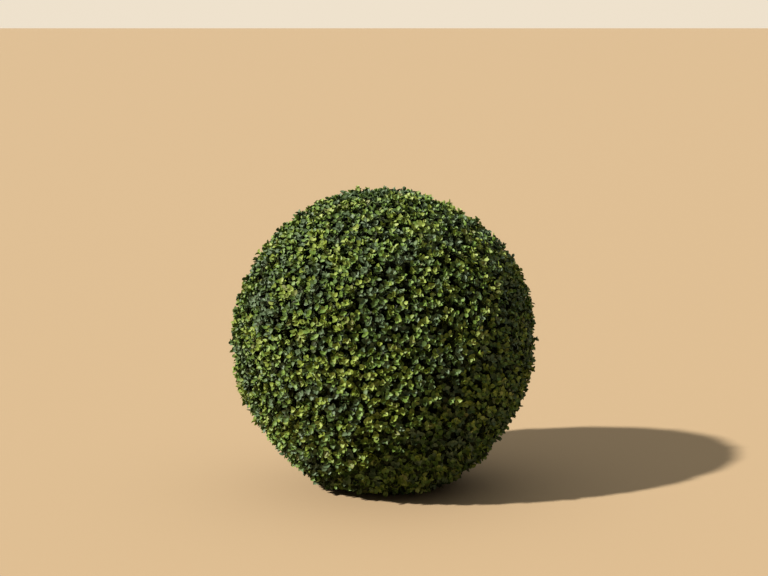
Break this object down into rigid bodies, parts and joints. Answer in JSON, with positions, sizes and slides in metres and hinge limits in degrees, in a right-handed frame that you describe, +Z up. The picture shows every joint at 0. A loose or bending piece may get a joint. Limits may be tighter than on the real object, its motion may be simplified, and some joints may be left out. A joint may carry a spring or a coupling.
{
  "type": "clipped box topiary ball",
  "caption": "Small-leaved evergreen shrub sheared to a near-perfect sphere that sits on the ground, with a short stem hidden inside.",
  "frame": {"origin": "centre of the flat cut under the stem, at ground level", "axes": "+Z straight up from the ground through the ball; +X and +Y lie level, and the ball is nearly the same from every side"},
  "size_m": [0.3996, 0.4005, 0.3938],
  "materials": {
    "bark": "matte",
    "foliage": "satin"
  },
  "bodies": {
    "root": {"stem": "bark", "crown": "foliage"}
  },
  "joints": []
}
